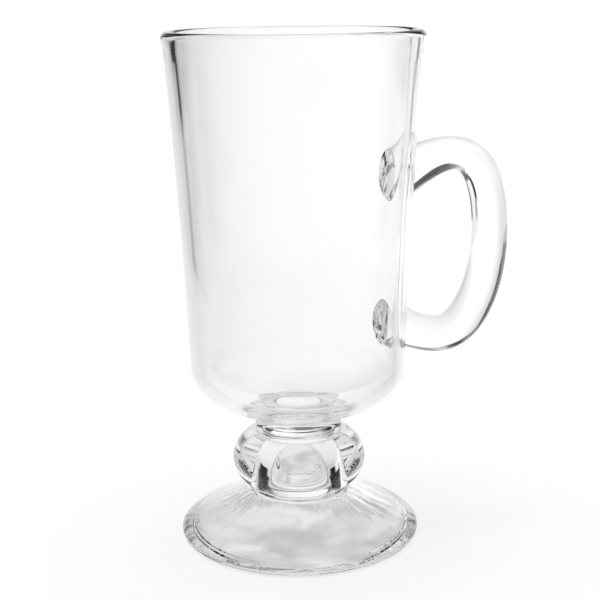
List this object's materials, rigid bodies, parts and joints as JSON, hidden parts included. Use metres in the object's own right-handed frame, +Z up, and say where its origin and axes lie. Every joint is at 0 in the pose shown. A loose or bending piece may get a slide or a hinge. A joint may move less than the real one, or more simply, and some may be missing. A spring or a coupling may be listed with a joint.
{
  "type": "irish coffee mug",
  "caption": "Clear plastic stemmed mug for hot drinks: tall flared bowl with a rounded lip, loop handle, short neck, round cored knop and hollow conical foot.",
  "frame": {"origin": "on the table under the centre of the mug's bounding box; the mug's own axis stands 17.9 mm towards -X, because the handle counts in the box", "axes": "+Z up along the mug's axis, +X from the bowl towards the handle, +Y across the handle's plane"},
  "size_m": [0.1114, 0.0756, 0.152],
  "materials": {
    "clear_plastic": "clear, moulded, polished"
  },
  "bodies": {
    "root": {"bowl": "clear_plastic", "handle": "clear_plastic", "knop": "clear_plastic", "foot": "clear_plastic"}
  },
  "joints": []
}
